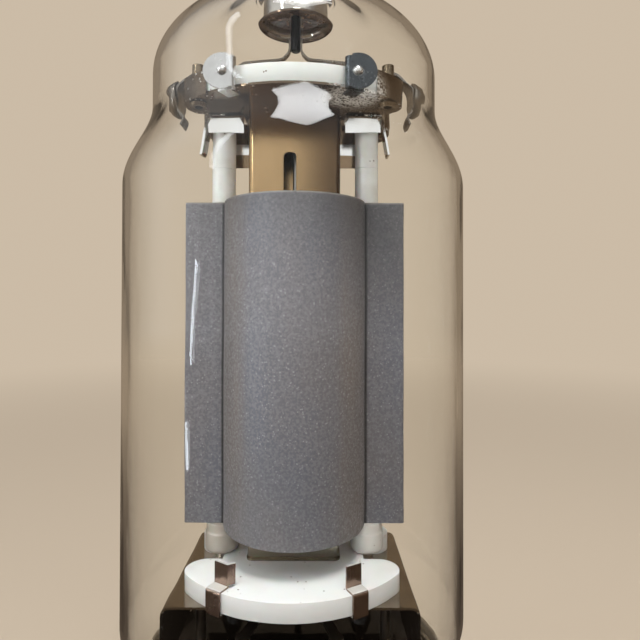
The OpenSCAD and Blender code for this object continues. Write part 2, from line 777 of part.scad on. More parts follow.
module filament() {
    mid = (strand_x + inner_strand_x) / 2;
    color([0.30, 0.28, 0.27]) {
        for (s = [-1, 1]) {
            translate([s * strand_x, 0, post_low]) cylinder(r = strand_r, h = loop_z - post_low);
            translate([s * inner_strand_x, 0, loop_low]) cylinder(r = strand_r, h = loop_z - loop_low);
            half_loop(s * mid, loop_z, (strand_x - inner_strand_x) / 2, true);
        }
        half_loop(0, loop_low, inner_strand_x, false);
    }
}

hanger_r = 0.45;
spring_h = 4.6;

module filament_hanger() {
    mid = (strand_x + inner_strand_x) / 2;
    hook_r = (strand_x - inner_strand_x) / 2 - strand_r;
    head_z = upper_plate_top + spring_h;
    color([0.70, 0.70, 0.68]) {
        translate([0, 0, loop_z + 2.4]) cylinder(r = hanger_r, h = head_z - loop_z - 2);
        translate([0, 0, head_z]) cylinder(r = 1.9, h = 0.6);
        translate([-2.6, 0.5, loop_z - 1]) cube([5.2, 0.4, 4.4]);
        translate([-0.5, -0.4, loop_z + 2.4]) cube([1, 1.2, 1]);
        for (s = [-1, 1])
            translate([s * mid, 0.6, loop_z]) rotate([90, 0, 0]) cylinder(r = hook_r, h = 1.2);
    }
}

spring_turns = 5;

module filament_spring() {
    coil_r = 1.3;
    coil_wire = 0.25;
    steps = 12;
    last = steps * spring_turns;
    rise = spring_h - 2 * coil_wire;
    points = [for (k = [0:last]) let (t = 360 * k / steps)
        each [for (q = [30:60:330])
            [(coil_r + coil_wire * cos(q)) * cos(t), (coil_r + coil_wire * cos(q)) * sin(t),
             upper_plate_top + coil_wire + rise * k / last + coil_wire * sin(q)]]];
    sides = [for (k = [0:last - 1], q = [0:5])
        let (c = 6 * k + q, d = 6 * k + (q + 1) % 6) [c, d, d + 6, c + 6]];
    ends = [[for (q = [5:-1:0]) q], [for (q = [0:5]) 6 * last + q]];
    color([0.62, 0.62, 0.60])
        polyhedron(points, concat(sides, ends), convexity = 6);
}

glass_envelope();
dish_stem();
seal_eyelet();
seal_bead();
anode_lead_rod();
top_cap();
base_shell();
bayonet_pin();
base_wafer();
base_cement();
for (i = [1:7]) base_pin(i);
for (i = [1:7]) stem_lead(i);
filament_links();
grid_links();
lower_shield();
lower_ceramic();
for (i = [1:4]) lower_clip(i);
mirror([1, 0, 0]) collar();  // collar_left
collar();  // collar_right
anode();
mirror([1, 0, 0]) support_rod();  // support_rod_left
support_rod();  // support_rod_right
mirror([1, 0, 0]) sleeve(anode_top, anode_top + sleeve_seam);  // short_sleeve_left
sleeve(anode_top, anode_top + sleeve_seam);  // short_sleeve_right
mirror([1, 0, 0]) sleeve(anode_top + sleeve_seam, saddle_top - saddle_t);  // long_sleeve_left
sleeve(anode_top + sleeve_seam, saddle_top - saddle_t);  // long_sleeve_right
mirror([1, 0, 0]) saddle();  // saddle_left
saddle();  // saddle_right
upper_shield();
upper_ceramic();
for (i = [1:4]) upper_clip(i);
upper_eyelets();
mirror([1, 0, 0]) snubber();  // snubber_left
snubber();  // snubber_right
anode_strap();
beam_box();
screen_grid();
control_grid();
filament();
filament_hanger();
filament_spring();
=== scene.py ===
# Beam power tetrode: looks for every piece, in the order in which the tube is put together.
from math import acos, cos, pi, radians, sin

import bmesh
import bpy
from mathutils import Matrix, Vector


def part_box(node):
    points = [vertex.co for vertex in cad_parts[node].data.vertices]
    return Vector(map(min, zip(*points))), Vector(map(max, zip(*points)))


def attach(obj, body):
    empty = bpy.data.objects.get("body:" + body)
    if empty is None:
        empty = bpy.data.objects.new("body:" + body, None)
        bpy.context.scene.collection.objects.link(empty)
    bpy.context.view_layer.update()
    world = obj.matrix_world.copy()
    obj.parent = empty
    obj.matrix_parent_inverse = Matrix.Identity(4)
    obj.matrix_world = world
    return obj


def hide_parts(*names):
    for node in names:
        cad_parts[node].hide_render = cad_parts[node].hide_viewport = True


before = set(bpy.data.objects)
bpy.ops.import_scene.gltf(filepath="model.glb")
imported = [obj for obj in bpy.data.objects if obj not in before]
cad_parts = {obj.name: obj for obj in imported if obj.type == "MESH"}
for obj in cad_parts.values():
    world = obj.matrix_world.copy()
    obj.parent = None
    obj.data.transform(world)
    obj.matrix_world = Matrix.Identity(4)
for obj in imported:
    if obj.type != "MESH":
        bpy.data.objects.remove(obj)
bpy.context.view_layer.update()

# The frame, the lamps and the card are in metres. The tube's own sizes below are in millimetres.
MM = 0.001


# Table, light and camera
# Pale card, a bright room on the camera's side, a square lamp overhead and a fill in front. Two
# narrow windows on the left are mirrored down the bulb, and a tall one shows on its dome.
PALE_CARD = (0.60, 0.50, 0.385)
SWEEP_LEVEL = 1.0
ROOM_LEVEL = 1.02
TOWARD_WINDOWS = (-0.42, -0.86, 0.29)
WINDOW_LIGHT = (0.86, 0.93, 1.0)
FLOOR_R = 4.0
FLOOR_SIDES = 64
CARD_FADE = (0.10, 0.9)
BROWN_FADE = (0.05, 0.5)
ROOM_FADE = (0.6, 2.0)
PHOTO_WIDE = 640
FOCAL_PIXELS = 524.6
AXIS_PIXEL_Y = 291.1
CAMERA_PLACE = (4.87 * MM, -102.2 * MM, 112.84 * MM)
CAMERA_PITCH = 90.64
CAMERA_ROLL = -0.13

scene = bpy.context.scene
scene.view_settings.view_transform = "Standard"


def plug(tree, source, socket):
    """Links a socket, or sets a plain value."""
    if isinstance(source, bpy.types.NodeSocket):
        tree.links.new(source, socket)
    else:
        socket.default_value = source


def node(tree, kind, inputs=(), **settings):
    """A shader node with its settings and inputs set or linked."""
    made = tree.nodes.new("ShaderNode" + kind)
    for name, value in settings.items():
        setattr(made, name, value)
    for name, value in dict(inputs).items():
        plug(tree, value, made.inputs[name])
    return made


def maths(tree, operation, first, second=0.0):
    made = node(tree, "Math", operation=operation)
    plug(tree, first, made.inputs[0])
    plug(tree, second, made.inputs[1])
    return made.outputs[0]


def spread(tree, value, low, high, out_low=0.0, out_high=1.0):
    """Maps low..high to out_low..out_high, clamped and eased."""
    sizes = {"Value": value, "From Min": low, "From Max": high, "To Min": out_low, "To Max": out_high}
    return node(tree, "MapRange", sizes, interpolation_type="SMOOTHSTEP").outputs[0]


def mixed(tree, share, first, second):
    """Two colours blended by a share."""
    made = node(tree, "Mix", data_type="RGBA")
    plug(tree, share, made.inputs[0])
    plug(tree, first, made.inputs[6])
    plug(tree, second, made.inputs[7])
    return made.outputs[2]


def shader_mix(tree, share, first, second):
    """Two shaders blended by a share."""
    made = node(tree, "MixShader")
    plug(tree, share, made.inputs[0])
    tree.links.new(first.outputs[0], made.inputs[1])
    tree.links.new(second.outputs[0], made.inputs[2])
    return made


def seen_directly(tree):
    """One for rays that show the background itself, also through glass, and none for mirrored ones."""
    ray = node(tree, "LightPath").outputs
    return maths(tree, "LESS_THAN", maths(tree, "ADD", ray["Glossy Depth"], ray["Diffuse Depth"]), 0.5)


def seen_mirrored(tree):
    """One for rays that reach the background off metal or glass."""
    ray = node(tree, "LightPath").outputs
    mirrored = maths(tree, "GREATER_THAN", ray["Glossy Depth"], 0.5)
    return maths(tree, "MULTIPLY", mirrored, maths(tree, "LESS_THAN", ray["Diffuse Depth"], 0.5))


def room_colour(tree, direction):
    """Colour of the room along a direction: windows on the camera's left, brown beyond the table."""
    along = node(tree, "VectorMath", {0: direction, 1: TOWARD_WINDOWS}, operation="DOT_PRODUCT")
    ramp = node(tree, "ValToRGB")
    stops = [(0.0, (0.25, 0.19, 0.13)), (0.50, (0.25, 0.20, 0.15)), (0.66, (0.31, 0.30, 0.29)),
             (0.86, (0.90, 0.92, 0.94))]
    elements = ramp.color_ramp.elements
    while len(elements) < len(stops):
        elements.new(0.5)
    for element, (place, colour) in zip(elements, stops):
        element.position = place
        element.color = (*colour, 1)
    plug(tree, spread(tree, along.outputs["Value"], -1.0, 1.0), ramp.inputs[0])
    return ramp.outputs[0]


def make_world():
    """The room for light and mirrored rays, and the card's colour where the camera sees past the tube."""
    world = bpy.data.worlds.new("studio")
    scene.world = world
    world.use_nodes = True
    tree = world.node_tree
    tree.nodes.clear()
    direction = node(tree, "TexCoord").outputs["Generated"]
    room = node(tree, "Background", {"Color": room_colour(tree, direction), "Strength": ROOM_LEVEL})
    sweep = node(tree, "Background", {"Color": (*PALE_CARD, 1), "Strength": SWEEP_LEVEL})
    mix = shader_mix(tree, seen_directly(tree), room, sweep)
    out = node(tree, "OutputWorld")
    tree.links.new(mix.outputs[0], out.inputs["Surface"])


def lamp(name, place, target, wide, high, power, colour, turn=0.0, mirrored=True, lights=True):
    """A rectangular lamp at a place in metres, aimed at a target and turned about its own axis.

    One that isn't mirrored shows in no metal or glass, and one that doesn't light gives no diffuse light.
    """
    light = bpy.data.lights.new(name, "AREA")
    light.shape = "RECTANGLE"
    light.size = wide
    light.size_y = high
    light.energy = power
    light.color = colour
    obj = bpy.data.objects.new(name, light)
    aim = (Vector(target) - Vector(place)).to_track_quat("-Z", "Y").to_matrix().to_4x4()
    obj.matrix_world = Matrix.Translation(place) @ aim @ Matrix.Rotation(radians(turn), 4, "Z")
    obj.visible_camera = False
    obj.visible_glossy = mirrored
    obj.visible_transmission = mirrored
    obj.visible_diffuse = lights
    scene.collection.objects.link(obj)


def make_pale_card():
    """Card that keeps the tube's shadow, fades into the backdrop's colour and is brown in mirrors."""
    mat = bpy.data.materials.new("pale_card")
    mat.use_nodes = True
    tree = mat.node_tree
    card = tree.nodes["Principled BSDF"]
    card.inputs["Base Color"].default_value = (*PALE_CARD, 1)
    card.inputs["Roughness"].default_value = 0.85
    place = node(tree, "TexCoord").outputs["Object"]
    reach = node(tree, "VectorMath", {"Vector": place}, operation="LENGTH").outputs["Value"]
    far = spread(tree, reach, *CARD_FADE)
    glow = node(tree, "Emission", {"Color": (*PALE_CARD, 1), "Strength": SWEEP_LEVEL})
    level = node(tree, "VectorMath", {0: place}, operation="NORMALIZE").outputs[0]
    brown = mixed(tree, spread(tree, reach, *BROWN_FADE), (0.075, 0.055, 0.040, 1), (0.30, 0.23, 0.16, 1))
    shaded = mixed(tree, spread(tree, reach, *ROOM_FADE), brown, room_colour(tree, level))
    room = node(tree, "Emission", {"Color": shaded, "Strength": ROOM_LEVEL})
    indirect = shader_mix(tree, seen_mirrored(tree), card, room)
    mix = shader_mix(tree, maths(tree, "MULTIPLY", far, seen_directly(tree)), indirect, glow)
    tree.links.new(mix.outputs[0], tree.nodes["Material Output"].inputs["Surface"])
    return mat


def make_floor():
    turns = [2 * pi * i / FLOOR_SIDES for i in range(FLOOR_SIDES)]
    mesh = bpy.data.meshes.new("floor")
    mesh.from_pydata([(FLOOR_R * cos(t), FLOOR_R * sin(t), 0) for t in turns], [], [range(FLOOR_SIDES)])
    mesh.materials.append(make_pale_card())
    floor = bpy.data.objects.new("floor", mesh)
    scene.collection.objects.link(floor)


def make_camera():
    lens = bpy.data.cameras.new("camera")
    lens.sensor_width = 36
    lens.lens = FOCAL_PIXELS / PHOTO_WIDE * lens.sensor_width
    lens.shift_y = (AXIS_PIXEL_Y - PHOTO_WIDE / 2) / PHOTO_WIDE
    lens.clip_start = 0.01
    camera = bpy.data.objects.new("camera", lens)
    camera.location = CAMERA_PLACE
    camera.rotation_euler = (radians(CAMERA_PITCH), radians(CAMERA_ROLL), 0)
    scene.collection.objects.link(camera)
    scene.camera = camera


make_world()
make_floor()
make_camera()
lamp("overhead_lamp", place=(0.035, -0.17, 0.66), target=(0.0, -0.02, 0.12), wide=0.20, high=0.20,
     power=2.45, colour=(0.98, 0.99, 1.0), turn=45)
lamp("upper_window", place=(-0.61, -0.355, 0.095), target=(-0.01, -0.03, 0.105), wide=0.024, high=0.160,
     power=0.50, colour=WINDOW_LIGHT, turn=-20)
lamp("lower_window", place=(-0.25, -0.135, 0.019), target=(-0.01, -0.03, 0.085), wide=0.008, high=0.030,
     power=0.028, colour=WINDOW_LIGHT, turn=14)
lamp("tall_window", place=(-0.456, -0.416, 0.50), target=(-0.008, -0.027, 0.145), wide=0.045, high=0.42,
     power=0.95, colour=(0.90, 0.95, 1.0), lights=False)
lamp("front_fill", place=(0.45, -0.62, 0.15), target=(0.0, 0.0, 0.09), wide=0.5, high=0.5,
     power=1.35, colour=(0.94, 0.97, 1.0), mirrored=False)


# Base: porcelain wafer, hollow pins, cement and the nickel plated shell with its bayonet pin
# The pins are riveted through the wafer and tinned at their tips. The shell is drawn from one
# sheet and is cemented to the bulb's neck.
FLOAT = "NodeSocketFloat"
COLOUR = "NodeSocketColor"
VECTOR = "NodeSocketVector"


def effect(name, inputs, outputs):
    """A shader node group with named sockets: the group, its inputs and its outputs."""
    group = bpy.data.node_groups.new(name, "ShaderNodeTree")
    for label, kind, value in inputs:
        group.interface.new_socket(label, in_out="INPUT", socket_type=kind).default_value = value
    for label, kind in outputs:
        group.interface.new_socket(label, in_out="OUTPUT", socket_type=kind)
    return group, group.nodes.new("NodeGroupInput").outputs, group.nodes.new("NodeGroupOutput").inputs


def noise(tree, place, scale, detail):
    return node(tree, "TexNoise", {"Vector": place, "Scale": scale, "Detail": detail}).outputs[0]


def cells(tree, place, scale):
    """Distance to the nearest of many scattered points."""
    return node(tree, "TexVoronoi", {"Vector": place, "Scale": scale}).outputs["Distance"]


def stretched(tree, place, x, y, z):
    return node(tree, "Mapping", {"Vector": place, "Scale": (x, y, z)}).outputs[0]


def make_specks():
    """Slow stains and a few sharp specks of dirt over a pale surface."""
    group, given, made = effect(
        "specks",
        [("Vector", VECTOR, (0, 0, 0)), ("Colour", COLOUR, (1, 1, 1, 1)),
         ("Stain", COLOUR, (0.7, 0.6, 0.5, 1)), ("Stain Share", FLOAT, 0.5),
         ("Speck", COLOUR, (0.16, 0.12, 0.09, 1)), ("Speck Size", FLOAT, 0.12)],
        [("Colour", COLOUR), ("Height", FLOAT)])
    place = given["Vector"]
    cloud = spread(group, noise(group, place, scale=0.14, detail=4.0), 0.42, 0.8)
    stain = maths(group, "MULTIPLY", cloud, given["Stain Share"])
    stained = mixed(group, stain, given["Colour"], given["Stain"])
    near = maths(group, "LESS_THAN", cells(group, place, scale=0.8), given["Speck Size"])
    rare = maths(group, "GREATER_THAN", noise(group, place, scale=0.4, detail=1.0), 0.56)
    dirty = mixed(group, maths(group, "MULTIPLY", near, rare), stained, given["Speck"])
    group.links.new(dirty, made["Colour"])
    group.links.new(noise(group, place, scale=2.5, detail=4.0), made["Height"])
    return group


def make_worn_metal():
    """Sheet metal with drawn streaks, a tarnish in clouds and specks of dust."""
    group, given, made = effect(
        "worn_metal",
        [("Vector", VECTOR, (0, 0, 0)), ("Colour", COLOUR, (0.7, 0.7, 0.7, 1)),
         ("Tarnish", COLOUR, (0.3, 0.2, 0.1, 1)), ("Tarnish Share", FLOAT, 0.5), ("Roughness", FLOAT, 0.3),
         ("Streak", FLOAT, 0.1), ("Dust", FLOAT, 0.0), ("Dust Scale", FLOAT, 2.2)],
        [("Colour", COLOUR), ("Roughness", FLOAT), ("Metallic", FLOAT), ("Height", FLOAT)])
    place = given["Vector"]
    cloud = spread(group, noise(group, place, scale=0.16, detail=2.0), 0.38, 0.7)
    tarnish = maths(group, "MULTIPLY", cloud, given["Tarnish Share"])
    toned = mixed(group, tarnish, given["Colour"], given["Tarnish"])
    grain = maths(group, "LESS_THAN", cells(group, place, given["Dust Scale"]), 0.24)
    heap = spread(group, noise(group, place, scale=0.22, detail=2.0), 0.5, 0.66)
    dust = maths(group, "MULTIPLY", maths(group, "MULTIPLY", grain, heap), given["Dust"])
    dusty = mixed(group, dust, toned, (0.85, 0.85, 0.84, 1))
    lines = noise(group, stretched(group, place, 5.0, 5.0, 0.25), scale=1.0, detail=3.0)
    streak = maths(group, "MULTIPLY", maths(group, "SUBTRACT", lines, 0.5), given["Streak"])
    rough = maths(group, "ADD", given["Roughness"], streak)
    rough = maths(group, "ADD", rough, maths(group, "MULTIPLY", tarnish, 0.15))
    rough = maths(group, "ADD", rough, maths(group, "MULTIPLY", dust, 0.5))
    group.links.new(dusty, made["Colour"])
    group.links.new(rough, made["Roughness"])
    group.links.new(maths(group, "SUBTRACT", 1.0, dust), made["Metallic"])
    group.links.new(noise(group, place, scale=0.45, detail=1.0), made["Height"])
    return group


SPECKS = make_specks()
WORN_METAL = make_worn_metal()


def here(tree):
    """Object coordinates in millimetres."""
    place = node(tree, "TexCoord").outputs["Object"]
    return node(tree, "VectorMath", {"Vector": place, "Scale": 1 / MM}, operation="SCALE").outputs[0]


def finish(name, **values):
    """A new material: itself, its tree, its shader, and object coordinates in millimetres."""
    mat = bpy.data.materials.new(name)
    mat.use_nodes = True
    tree = mat.node_tree
    shader = tree.nodes["Principled BSDF"]
    for label, value in values.items():
        shader.inputs[label.replace("_", " ")].default_value = value
    return mat, tree, shader, here(tree)


def use(tree, group, **inputs):
    """A node group with its inputs set or linked: its outputs."""
    made = tree.nodes.new("ShaderNodeGroup")
    made.node_tree = group
    for label, value in inputs.items():
        plug(tree, value, made.inputs[label.replace("_", " ")])
    return made.outputs


def bump(tree, shader, height, strength, depth):
    """Bump from a height, with its depth in millimetres."""
    made = node(tree, "Bump", {"Height": height, "Strength": strength, "Distance": depth * MM})
    tree.links.new(made.outputs[0], shader.inputs["Normal"])


def ceramic(name, colour, stain, share, roughness, coat):
    """Glazed or bare ceramic with stains over a share of it."""
    mat, tree, shader, place = finish(name, Roughness=roughness, Coat_Weight=coat, Coat_Roughness=0.12,
                                      Subsurface_Weight=0.12, Subsurface_Scale=0.5 * MM)
    made = use(tree, SPECKS, Vector=place, Colour=(*colour, 1), Stain=(*stain, 1), Stain_Share=share)
    tree.links.new(made["Colour"], shader.inputs["Base Color"])
    bump(tree, shader, made["Height"], strength=0.25, depth=0.03)
    return mat


def metal(name, colour, tarnish, share, roughness, streak=0.1, dust=0.0, dust_scale=2.2, dents=0.02):
    """Sheet or wire with a tarnish over a share of it, and dents of a depth in millimetres."""
    mat, tree, shader, place = finish(name, Metallic=1.0)
    made = use(tree, WORN_METAL, Vector=place, Colour=(*colour, 1), Tarnish=(*tarnish, 1),
               Tarnish_Share=share, Roughness=roughness, Streak=streak, Dust=dust, Dust_Scale=dust_scale)
    for label, socket in (("Colour", "Base Color"), ("Roughness", "Roughness"), ("Metallic", "Metallic")):
        tree.links.new(made[label], shader.inputs[socket])
    bump(tree, shader, made["Height"], strength=0.5, depth=dents)
    return mat


def make_cement():
    """Basing cement: dull, gritty and brown."""
    mat, tree, shader, place = finish("basing_cement", Roughness=0.9)
    made = use(tree, SPECKS, Vector=place, Colour=(0.34, 0.27, 0.19, 1), Stain=(0.20, 0.15, 0.10, 1),
               Stain_Share=0.9, Speck=(0.2, 0.17, 0.14, 1))
    tree.links.new(made["Colour"], shader.inputs["Base Color"])
    bump(tree, shader, made["Height"], strength=0.8, depth=0.2)
    return mat


def dress(material, *names):
    """Puts a finish on nodes of the frame as they are."""
    for name in names:
        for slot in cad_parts[name].material_slots:
            slot.material = material


dress(ceramic("wafer_porcelain", (0.74, 0.71, 0.62), (0.50, 0.44, 0.34), share=0.6, roughness=0.25,
              coat=0.5), "base_wafer")
dress(metal("tinned_brass", (0.66, 0.63, 0.56), (0.42, 0.36, 0.27), share=0.6, roughness=0.34, streak=0.2),
      *[f"base_pin_{i}" for i in range(1, 8)])
dress(metal("shell_plate", (0.60, 0.58, 0.54), (0.36, 0.31, 0.25), share=0.55, roughness=0.30, streak=0.25),
      "base_shell", "bayonet_pin")
dress(make_cement(), "base_cement")


# Pressed stem: a glass dish with a boss round each lead, and the leads up to the cage
# The dish is black with the getter's mirror on its upper side. The leads are dull with oxide,
# and flat bars welded to them carry the filament and the two grids.
def make_getter_film():
    """The getter's mirror, near black and thinner in places."""
    mat, tree, shader, place = finish("getter_film", Roughness=0.06, IOR=1.5, Specular_IOR_Level=0.2)
    thin = spread(tree, noise(tree, place, scale=0.12, detail=3.0), 0.35, 0.75)
    colour = mixed(tree, thin, (0.002, 0.0015, 0.001, 1), (0.007, 0.005, 0.004, 1))
    tree.links.new(colour, shader.inputs["Base Color"])
    bump(tree, shader, noise(tree, place, scale=0.2, detail=2.0), strength=0.4, depth=0.1)
    return mat


dress(make_getter_film(), "dish_stem")
dress(metal("lead_nickel", (0.12, 0.10, 0.08), (0.05, 0.036, 0.026), share=0.7, roughness=0.34),
      *[f"stem_lead_{i}" for i in range(1, 8)], "filament_links", "grid_links")


# Cage floor: folded shield, lower ceramic plate, clips and collars
# The shield is polished nickel sheet the colour of weak tea, folded down at both sides. The
# plate on it is white alumina, held by four dark straps, and collars lift the anode off it.
SOOT_AND_SHADE_FULL = 1.1
SOOT_AND_SHADE_FROM = 0.7
SHARP_ANGLE = 35
FLAT_ANGLE = 0.6
SMOOTH_ANGLE = 28
WELD_GAP = 0.002
EDGE_STEPS = 2


def extent(name):
    """Lowest and highest corner of a CAD node, in millimetres."""
    low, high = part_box(name)
    return low / MM, high / MM


def axis(tree, name):
    """One object coordinate in millimetres."""
    return node(tree, "SeparateXYZ", {"Vector": here(tree)}).outputs[name]


def facing_up(tree):
    """How far a surface faces up: one on top, none on a wall."""
    return node(tree, "SeparateXYZ", {"Vector": node(tree, "NewGeometry").outputs["Normal"]}).outputs["Z"]


def retone(mat, share, colour, metallic=None):
    """Blends a colour over a finish where a share says, and a metallic share with it."""
    tree = mat.node_tree
    shader = tree.nodes["Principled BSDF"]
    toned = shader.inputs["Base Color"].links[0].from_socket
    tree.links.new(mixed(tree, share, toned, (*colour, 1)), shader.inputs["Base Color"])
    if metallic is not None:
        tree.links.new(spread(tree, share, 0.0, 1.0, 1.0, metallic), shader.inputs["Metallic"])


def rounded(name, width, material):
    """Replaces a node of the frame by a copy whose sharp edges are broken by a width in millimetres."""
    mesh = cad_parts[name].data.copy()
    for layer in [a for a in mesh.attributes if a.name == "custom_normal"]:
        mesh.attributes.remove(layer)
    solid = bmesh.new()
    solid.from_mesh(mesh)
    bmesh.ops.remove_doubles(solid, verts=solid.verts, dist=WELD_GAP * MM)
    bmesh.ops.dissolve_limit(solid, angle_limit=radians(FLAT_ANGLE), verts=solid.verts, edges=solid.edges)
    edges = [e for e in solid.edges if len(e.link_faces) == 2 and e.calc_face_angle() > radians(SHARP_ANGLE)]
    bmesh.ops.bevel(solid, geom=edges, offset=width * MM, segments=EDGE_STEPS, profile=0.5,
                    affect="EDGES", clamp_overlap=True)
    solid.to_mesh(mesh)
    solid.free()
    mesh.shade_smooth()
    mesh.set_sharp_from_angle(angle=radians(SMOOTH_ANGLE))
    mesh.materials.clear()
    mesh.materials.append(material)
    copy = bpy.data.objects.new(name + "_rounded", mesh)
    scene.collection.objects.link(copy)
    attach(copy, "root")
    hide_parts(name)


def make_tea_shield():
    """Polished sheet, near black below its web: getter soot and painted shade of the hollow under the plate.
    """
    mat, tree, shader, place = finish("tea_shield", Specular_IOR_Level=0.0)
    web = extent("lower_shield")[1].z
    # Partly painted shade: near black below the web, in the hollow under the plate.
    soot_and_shade = spread(tree, axis(tree, "Z"), web - SOOT_AND_SHADE_FULL, web - SOOT_AND_SHADE_FROM, 1.0, 0.0)
    sheet = mixed(tree, soot_and_shade, (0.42, 0.36, 0.285, 1), (0.002, 0.001, 0.001, 1))
    worn = mixed(tree, soot_and_shade, (0.25, 0.20, 0.15, 1), (0.001, 0.001, 0.001, 1))
    made = use(tree, WORN_METAL, Vector=place, Colour=sheet, Tarnish=worn, Tarnish_Share=0.6, Roughness=0.12,
               Streak=0.05, Dust=0.1)
    tree.links.new(made["Colour"], shader.inputs["Base Color"])
    tree.links.new(made["Roughness"], shader.inputs["Roughness"])
    tree.links.new(maths(tree, "SUBTRACT", 1.0, soot_and_shade), shader.inputs["Metallic"])
    bump(tree, shader, made["Height"], strength=0.5, depth=0.02)
    return mat


def make_white_alumina():
    """White on top, with painted shade making it greyer on its rim and below."""
    mat = ceramic("white_alumina", (0.89, 0.91, 0.92), (0.76, 0.74, 0.69), share=0.35, roughness=0.30,
                  coat=0.35)
    tree = mat.node_tree
    # Painted shade: grey wherever the plate doesn't face up.
    retone(mat, spread(tree, facing_up(tree), 0.2, 0.8, 1.0, 0.0), (0.68, 0.68, 0.685))
    return mat


def make_dark_strap():
    """Browned nickel, with a painted highlight making it pale where it faces up."""
    mat = metal("dark_strap", (0.36, 0.26, 0.21), (0.15, 0.10, 0.08), share=0.7, roughness=0.2, streak=0.06)
    tree = mat.node_tree
    # Painted highlight: pale where the strap faces up.
    retone(mat, spread(tree, facing_up(tree), 0.6, 0.95), (0.84, 0.83, 0.80), metallic=0.25)
    return mat


# Painted shade: both collars are darkened alumina, the left one deeper, where the wing and anode shade it.
shaded_left_collar = ceramic("shaded_left_collar", (0.38, 0.34, 0.295), (0.26, 0.22, 0.18), share=0.6,
                          roughness=0.30, coat=0.25)
shaded_right_collar = ceramic("shaded_right_collar", (0.56, 0.54, 0.51), (0.40, 0.36, 0.31), share=0.6,
                      roughness=0.30, coat=0.35)
dress(make_tea_shield(), "lower_shield")
rounded("lower_ceramic", width=0.45, material=make_white_alumina())
rounded("collar_left", width=0.15, material=shaded_left_collar)
rounded("collar_right", width=0.15, material=shaded_right_collar)
dress(make_dark_strap(), *[f"lower_clip_{i}" for i in range(1, 5)])


# Grids and filament: wire wound on posts, inside the folded beam forming box
# The box is satin nickel with a keyhole slot in front. Each grid is an oval spiral of
# molybdenum wire on two posts, wound by geometry nodes. The filament is dark tungsten.
TURNS = 28.0
WOUND_LOW = 73
WOUND_H = 54.8
WIRE_R = 0.11
POST_LOW = extent("screen_grid")[0].z
POST_TOP = extent("screen_grid")[1].z
SHORT_POST_LOW = 60
TURN_STEPS = 24
WIRE_SIDES = 6
POST_SIDES = 20
WIRE_SMOOTH_ANGLE = 40
SHADE_RIGHT_FROM = -3.0
SHADE_RIGHT_FULL = 8.0
GREY_FULL = 66.0
GREY_END = 74.0


def shape(tree, kind, **inputs):
    """A geometry node with its inputs set or linked: its first output."""
    made = tree.nodes.new("GeometryNode" + kind)
    for label, value in inputs.items():
        plug(tree, value, made.inputs[label.replace("_", " ")])
    return made.outputs[0]


def make_wound_grid():
    """A spiral of wire, stretched to an oval, and the two posts that carry it."""
    tree = bpy.data.node_groups.new("wound_grid", "GeometryNodeTree")
    for label in ("Half Width", "Half Depth", "Low", "Rise", "Turns", "Wire Radius", "Post Offset",
                  "Post Radius", "Post Top", "Left Low", "Right Low"):
        tree.interface.new_socket(label, in_out="INPUT", socket_type=FLOAT)
    tree.interface.new_socket("Material", in_out="INPUT", socket_type="NodeSocketMaterial")
    tree.interface.new_socket("Geometry", in_out="OUTPUT", socket_type="NodeSocketGeometry")
    given = tree.nodes.new("NodeGroupInput").outputs
    made = tree.nodes.new("NodeGroupOutput").inputs

    def point(x, y, z):
        return node(tree, "CombineXYZ", {"X": x, "Y": y, "Z": z}).outputs[0]

    def swept(line, radius, sides):
        section = shape(tree, "CurvePrimitiveCircle", Resolution=sides, Radius=radius)
        return shape(tree, "CurveToMesh", Curve=line, Fill_Caps=True, Profile_Curve=section)

    round_spiral = shape(tree, "CurveSpiral", Resolution=TURN_STEPS, Rotations=given["Turns"],
                         Start_Radius=1.0, End_Radius=1.0, Height=given["Rise"])
    spiral = shape(tree, "Transform", Geometry=round_spiral, Translation=point(0.0, 0.0, given["Low"]),
                   Scale=point(given["Half Width"], given["Half Depth"], 1.0))
    parts = [swept(spiral, given["Wire Radius"], WIRE_SIDES)]
    for side, low in ((-1.0, "Left Low"), (1.0, "Right Low")):
        x = maths(tree, "MULTIPLY", given["Post Offset"], side)
        foot, rivet_glint = point(x, 0.0, given[low]), point(x, 0.0, given["Post Top"])
        line = shape(tree, "CurvePrimitiveLine", Start=foot, End=rivet_glint)
        parts.append(swept(line, given["Post Radius"], POST_SIDES))
    joined = tree.nodes.new("GeometryNodeJoinGeometry")
    for part in parts:
        tree.links.new(part, joined.inputs[0])
    whole = shape(tree, "RealizeInstances", Geometry=joined.outputs[0])
    tree.links.new(shape(tree, "SetMaterial", Geometry=whole, Material=given["Material"]), made["Geometry"])
    return tree


def grown(name, tree, material, **sizes):
    """A plain mesh made by a geometry tree, with its sizes given in its own inputs."""
    made = bpy.data.objects.new(name, bpy.data.meshes.new(name))
    scene.collection.objects.link(made)
    modifier = made.modifiers.new(name, "NODES")
    modifier.node_group = tree
    for label, value in {**sizes, "Material": material}.items():
        modifier[tree.interface.items_tree[label.replace("_", " ")].identifier] = value
    solid = bpy.data.meshes.new_from_object(made.evaluated_get(bpy.context.evaluated_depsgraph_get()))
    made.modifiers.clear()
    made.data = solid
    solid.shade_smooth()
    solid.set_sharp_from_angle(angle=radians(WIRE_SMOOTH_ANGLE))
    return made


WOUND_GRID = make_wound_grid()
GRID_WIRE = metal("grid_wire", (0.36, 0.36, 0.37), (0.22, 0.21, 0.22), share=0.6, roughness=0.35)


def wind(name, cad_name, **sizes):
    """Winds a grid in place of its CAD node, from sizes in millimetres."""
    sizes = {"Low": WOUND_LOW, "Rise": WOUND_H, "Wire_Radius": WIRE_R, "Post_Top": POST_TOP, **sizes}
    in_metres = {label: size * MM for label, size in sizes.items()}
    grid = grown(name, WOUND_GRID, GRID_WIRE, Turns=TURNS, **in_metres)
    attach(grid, "root")
    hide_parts(cad_name)


